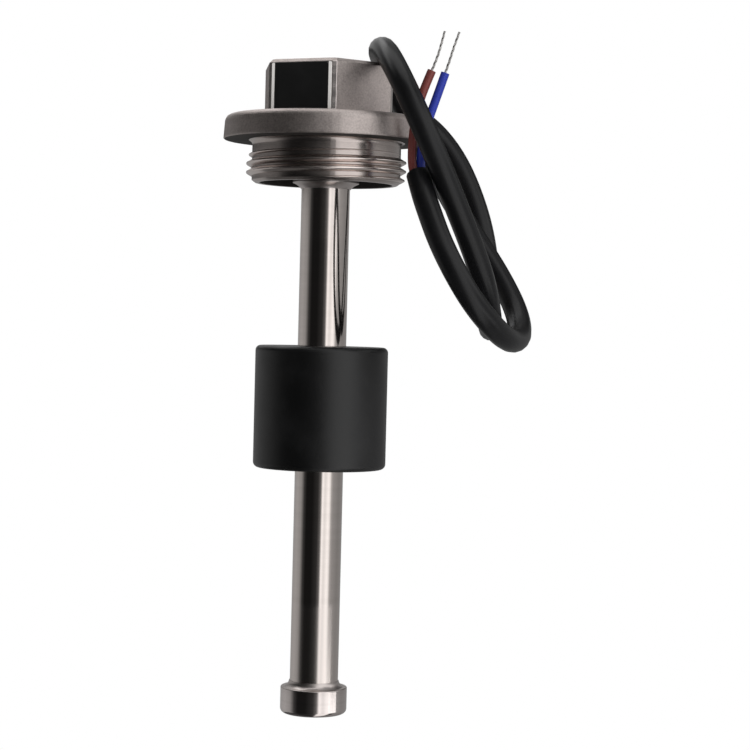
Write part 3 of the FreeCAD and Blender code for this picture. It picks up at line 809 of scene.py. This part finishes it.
def routeCurve(name, points, diameter):
    data = bpy.data.curves.new(name, "CURVE")
    data.dimensions = "3D"
    spline = data.splines.new("NURBS")
    spline.points.add(len(points) - 1)
    for control, point in zip(spline.points, points):
        control.co = (*(Vector(point) * mm), 1)
    spline.order_u = curveDetail["order"]
    spline.use_endpoint_u = True
    data.resolution_u = curveDetail["along"]
    data.bevel_depth = diameter / 2
    data.bevel_resolution = curveDetail["around"] if diameter else 0
    data.use_fill_caps = diameter > 0
    return addObject(name, data)


# a core starts a little inside the jacket's cut end, beside its middle
def coreRoute(side, points):
    last, before = Vector(cable["route"][-1]), Vector(cable["route"][-2])
    along = (last - before).normalized()
    across = along.cross(Vector((0, 0, 1))).normalized()
    begin = last + across * (side * cores["beside"])
    return [begin - along * cores["sunk"], begin, begin + along * cores["run"]] + points


def makeStrandTree():
    tree, start, end = makeShapeGroup("twistedStrands", strands["tree"], ("Count", "Sides"))
    sizes = start.outputs
    even = put(tree, "GeometryNodeResampleCurve", -3, 2, mode="LENGTH")
    along = put(tree, "GeometryNodeSplineParameter", -4, 0).outputs["Factor"]
    turned = maths(tree, "MULTIPLY", -3, 0, along, sizes["Turns"])
    tilted = put(tree, "GeometryNodeSetCurveTilt", -1, 2)
    ring = put(tree, "GeometryNodeCurvePrimitiveCircle", -3, -2)
    wire = put(tree, "GeometryNodeCurvePrimitiveCircle", -3, -3)
    dots = put(tree, "GeometryNodeCurveToPoints", -2, -2, mode="EVALUATED")
    bundle = put(tree, "GeometryNodeInstanceOnPoints", -1, -2)
    bundleWhole = put(tree, "GeometryNodeRealizeInstances", 0, -2)
    narrowed = put(tree, "ShaderNodeMapRange", 0, 0)    # full size at the insulation, less at the tip
    narrowed.inputs["To Min"].default_value = 1.0
    swept = put(tree, "GeometryNodeCurveToMesh", 1, 1)
    swept.inputs["Fill Caps"].default_value = True
    whole = put(tree, "GeometryNodeRealizeInstances", 2, 1)
    coated = put(tree, "GeometryNodeSetMaterial", 3, 1)
    join(tree, (sizes["Step"], even.inputs["Length"]), (sizes["Count"], ring.inputs["Resolution"]),
         (maths(tree, "MULTIPLY", -2, 0, turned, 2 * math.pi), tilted.inputs["Tilt"]),
         (sizes["Bundle Radius"], ring.inputs["Radius"]), (sizes["Sides"], wire.inputs["Resolution"]),
         (sizes["Strand Radius"], wire.inputs["Radius"]), (wire.outputs["Curve"], bundle.inputs["Instance"]),
         (along, narrowed.inputs["Value"]), (sizes["Tip Scale"], narrowed.inputs["To Max"]),
         (bundleWhole.outputs[0], swept.inputs["Profile Curve"]),
         (narrowed.outputs["Result"], swept.inputs["Scale"]), (sizes["Finish"], coated.inputs["Material"]))
    chain(tree, ring, dots, bundle, bundleWhole)
    chain(tree, start, even, tilted, swept, whole, coated, end)
    return tree


def makeCable():
    jacket = routeCurve("cableJacket", cable["route"], cable["diameter"])
    dress(jacket, ["cable"], ["cable_jacket"])
    strandTree = makeStrandTree()
    onCable = []
    for colour, side in (("brown", -1), ("blue", 1)):
        core = routeCurve(colour + "Wire", coreRoute(side, cores[colour]), cores["diameter"])
        dress(core, [colour], [colour + "_wire"])
        line = routeCurve(colour + "StrandLine", strands[colour], 0)
        bare = growMesh(colour + "Strands", strandTree, dict(strands["tree"], Finish=finish["tinned"]), line)
        dress(bare, ["tinned"], [colour + "_strands"])
        onCable += [core, bare]


makeCable()
print("cable laid:", len(cable["route"]), "route points")

# pieces on and in the hexagon
label = {"face": math.radians(240), "width": 16.9 * mm, "low": 6.75 * mm, "high": 18.95 * mm,
         "corner": 0.4 * mm, "thickness": 0.2 * mm, "edge": 0.06 * mm}
grommet = {"face": math.radians(60), "height": 13.4 * mm, "hole": 3.1 * mm, "bush": 4.3 * mm, "lip": 5.3 * mm,
           "lipThickness": 1.0 * mm, "edge": 0.35 * mm, "segments": 72}
potting = {"top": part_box("potting_fill")[1][2], "floor": head["wellFloor"], "rise": 0.5 * mm,
           "creep": 1.6 * mm, "steps": 6, "segments": 96}


def makeLabel(v):
    mesh = bmesh.new()
    half = v["width"] / 2
    low, high, bend = v["low"], v["high"], v["corner"]
    flat = soften([(-half, low, bend), (half, low, bend), (half, high, bend), (-half, high, bend)])
    middle = Vector((0, (low + high) / 2))
    face = head["acrossFlats"] / 2
    rings = []
    for out, inset in [(0, 0), (v["thickness"] - v["edge"], 0), (v["thickness"], v["edge"])]:
        points = [p - (p - middle).normalized() * inset for p in flat]
        rings.append([mesh.verts.new((face + out, p.x, p.y)) for p in points])
    for first, second in zip(rings, rings[1:]):
        bridge(mesh, first, second)
    mesh.faces.new(rings[0])
    mesh.faces.new(rings[-1])
    mesh.transform(Matrix.Rotation(v["face"], 4, "Z"))
    piece = finishMesh("blankLabel", mesh)
    dress(piece, ["label"], ["blank_label"])


def makeGrommet(v):
    well, flat = head["well"], head["acrossFlats"] / 2
    front = flat + v["lipThickness"]
    outline = soften([(v["hole"], well, 0), (v["bush"], well, 0), (v["bush"], flat, 0), (v["lip"], flat, 0),
                      (v["lip"], front, v["edge"]), (v["hole"], front, v["edge"])])
    piece = turnMesh("cableGrommet", outline, v["segments"])
    piece.data.transform(Matrix.Translation((0, 0, v["height"])) @ Matrix.Rotation(v["face"], 4, "Z")
                         @ Matrix.Rotation(math.radians(90), 4, "Y"))
    dress(piece, ["grommet"], ["cable_grommet"])


# resin that climbs a little way up the well's wall
def makePotting(v):
    well = head["well"]
    outline = [Vector((0, v["floor"])), Vector((well, v["floor"])), Vector((well, v["top"]))]
    for s in range(1, v["steps"] + 1):
        t = s / v["steps"]
        outline.append(Vector((well - v["creep"] * t, v["top"] - v["rise"] * (1 - (1 - t) ** 2))))
    outline.append(Vector((0, v["top"] - v["rise"])))
    piece = turnMesh("pottingFill", outline, v["segments"])
    dress(piece, ["potting"], ["potting_fill"])


makeLabel(label)
makeGrommet(grommet)
makePotting(potting)
print("label, grommet and potting placed")

# what the head, the stem and the float hide keeps its solid and gets its finish
hidden = {"float_magnet": "ferrite", "sensor_board": "board", "reed_capsules": "glass",
          "reed_leads": "tinned", "ladder_resistors": "resistor", "solder_joints": "tinned",
          "brown_core": "brown", "blue_core": "blue"}
for node, finishName in hidden.items():
    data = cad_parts[node].data
    data.materials.clear()
    data.materials.append(finish[finishName])
print("hidden pieces finished:", len(hidden))

# stage: pale floor, a tall soft box at the front right, and a reflector tent that only mirror-like rays meet
stage = {
    "floor": -600 * mm, "floorSize": 12.0, "white": (0.86, 0.86, 0.86), "floorRough": 0.9,
    # radius and height up the tent, and which of its finishes each run has: wall, ends or top
    "tent": [(0.0, -560 * mm), (0.75, -560 * mm), (0.75, 0.55), (0.50, 0.95), (0.0, 1.10)],
    "tentFinishes": (1, 0, 1, 2), "tentSegments": 48,
    # degrees to the right of the camera, and how bright the wall is there: below and above headHeights
    "panels": [(-180, 0.33), (-114, 0.50), (-88, 0.40), (-70, 0.06), (-56, 0.012), (-26, 0.012), (0, 0.04),
               (12, 0.17), (16, 0.50), (21, 1.60), (34, 1.20), (50, 1.60), (58, 1.35), (66, 0.62), (76, 0.42),
               (110, 0.31), (180, 0.33)],
    "headPanels": [(-180, 0.90), (-145, 0.60), (-118, 0.13), (-95, 0.03), (-60, 0.015), (-35, 0.03),
                   (-10, 0.22), (8, 0.65), (24, 1.50), (56, 1.45), (100, 1.25), (114, 0.30), (126, 0.06),
                   (165, 0.06), (180, 0.90)],
    # above and below, as the thread's flanks meet it
    "flankPanels": [(-180, 0.11), (-110, 0.10), (-84, 0.05), (-54, 0.02), (-14, 0.03), (8, 0.08), (18, 1.40),
                    (56, 1.40), (62, 0.50), (66, 0.05), (79, 0.05), (84, 0.32), (180, 0.25)],
    "headHeights": (110 * mm, 150 * mm), "topTone": 1.3,
    # cards inside the tent: tone and distance, then the angle and height of each corner
    "cards": [(2.00, 0.55, [(-172, 780 * mm), (-95, 780 * mm), (-95, 360 * mm), (-172, 360 * mm)]),
              (0.07, 0.70, [(-180, 110 * mm), (-132, 110 * mm), (-132, 28 * mm), (-180, 28 * mm)]),
              (0.07, 0.70, [(-132, 110 * mm), (-80, 110 * mm), (-80, 28 * mm), (-132, 28 * mm)]),
              (1.90, 0.70, [(54, -257 * mm), (86, -257 * mm), (86, -380 * mm), (54, -380 * mm)])],
    "boxTurn": 38, "boxDistance": 0.95, "boxWidth": 0.50, "boxHeight": 1.3, "boxPower": 7.5,
    "boxAim": -60 * mm, "sky": 0.75,
}


def whiteForViewer(tree, shader, light):
    # camera, glossy and transmission rays get plain white; other rays get the surface as it is
    path = put(tree, "ShaderNodeLightPath", -4, 2).outputs
    seen = maths(tree, "MAXIMUM", -3, 2, path["Is Camera Ray"], path["Is Glossy Ray"])
    through = maths(tree, "MAXIMUM", -2, 2, seen, path["Is Transmission Ray"])
    mix = put(tree, "ShaderNodeMixShader", 1, 1)
    join(tree, (through, mix.inputs[0]), (shader, mix.inputs[1]), (light, mix.inputs[2]))
    return mix.outputs[0]


def makeFloor(v):
    data = bpy.data.meshes.new("floor")
    s, z = v["floorSize"] / 2, v["floor"]
    data.from_pydata([(-s, -s, z), (s, -s, z), (s, s, z), (-s, s, z)], [], [(0, 1, 2, 3)])
    floor = addObject("floor", data)
    material, tree, shader = newMaterial("paleFloor")
    shader.inputs["Base Color"].default_value = (*v["white"], 1)
    shader.inputs["Roughness"].default_value = v["floorRough"]
    glow = put(tree, "ShaderNodeEmission", -1, 0)
    seen = whiteForViewer(tree, shader.outputs[0], glow.outputs[0])
    tree.links.new(seen, tree.nodes["Material Output"].inputs[0])
    data.materials.append(material)


def makeGlow(name, tone):
    material, tree, shader = newMaterial(name)
    tree.nodes.remove(shader)
    glow = put(tree, "ShaderNodeEmission", 0, 0)
    glow.inputs["Color"].default_value = (tone, tone, tone, 1)
    tree.links.new(glow.outputs[0], tree.nodes["Material Output"].inputs[0])
    return material, tree, glow


def makeTentWall(name, lowPanels, highPanels, heights):
    material, tree, glow = makeGlow(name, 1)
    place = put(tree, "ShaderNodeTexCoord", -6, 0)
    turn = put(tree, "ShaderNodeTexGradient", -5, 1, gradient_type="RADIAL")
    split = put(tree, "ShaderNodeSeparateXYZ", -5, -1)
    join(tree, (place.outputs["Object"], turn.inputs["Vector"]), (place.outputs["Object"], split.inputs[0]))

    def toneRound(stops, y):
        ramp = put(tree, "ShaderNodeValToRGB", -4, y)
        marks = ramp.color_ramp.elements
        while len(marks) < len(stops):
            marks.new(1.0)
        for mark, (angle, tone) in zip(marks, stops):
            mark.position = angle / 360 + 0.5
            mark.color = (tone, tone, tone, 1)
        tree.links.new(turn.outputs["Fac"], ramp.inputs["Fac"])
        return ramp.outputs["Color"]

    high = spread(tree, split.outputs["Z"], 0, 1, -3, -1, *heights)
    tone = mixColours(tree, high, toneRound(lowPanels, 3), toneRound(highPanels, 1), -1, 1)
    tree.links.new(tone, glow.inputs["Color"])
    return material


# a closed tent about the stem, toned by the angle from the camera, and cards inside it
def makeTent(v):
    mesh = bmesh.new()
    walls = [makeTentWall("tentWall", v["panels"], v["headPanels"], v["headHeights"]),
             makeTentWall("tentEnds", v["flankPanels"], v["flankPanels"], v["headHeights"]),
             makeGlow("tentTop", v["topTone"])[0]]
    rings = [addRing(mesh, r, z, v["tentSegments"]) for r, z in v["tent"]]
    for first, second, wall in zip(rings, rings[1:], v["tentFinishes"]):
        bridge(mesh, first, second, wall)
    for tone, reach, corners in v["cards"]:
        spots = [Matrix.Rotation(math.radians(angle), 3, "Z") @ Vector((reach, 0, z)) for angle, z in corners]
        mesh.faces.new([mesh.verts.new(spot) for spot in spots]).material_index = len(walls)
        walls.append(makeGlow("tentCard", tone)[0])
    tent = finishMesh("reflectorTent", mesh)
    tent.rotation_euler.z = math.atan2(-viewAhead.y, -viewAhead.x)
    for wall in walls:
        tent.data.materials.append(wall)
    for rays in ("camera", "diffuse", "transmission", "shadow"):
        setattr(tent, "visible_" + rays, False)


def makeLights(v):
    data = bpy.data.lights.new("softBox", "AREA")
    data.shape = "RECTANGLE"
    data.size = v["boxWidth"]
    data.size_y = v["boxHeight"]
    data.energy = v["boxPower"]
    box = addObject("softBox", data)
    a = math.radians(v["boxTurn"])
    target = Vector((0, 0, v["boxAim"]))
    box.location = target + (viewRight * math.sin(a) - viewAhead * math.cos(a)) * v["boxDistance"]
    box.rotation_euler = (target - box.location).to_track_quat("-Z", "Y").to_euler()
    box.visible_glossy = False

    world = bpy.data.worlds.new("studio")
    bpy.context.scene.world = world
    world.use_nodes = True
    tree = world.node_tree
    plain = tree.nodes["Background"]
    plain.inputs["Strength"].default_value = v["sky"]
    bright = put(tree, "ShaderNodeBackground", -1, -1)
    for background in (plain, bright):
        background.inputs["Color"].default_value = (1, 1, 1, 1)
    seen = whiteForViewer(tree, plain.outputs[0], bright.outputs[0])
    tree.links.new(seen, tree.nodes["World Output"].inputs[0])


makeFloor(stage)
makeTent(stage)
makeLights(stage)
bpy.context.scene.view_settings.view_transform = "Standard"
print("stage set")
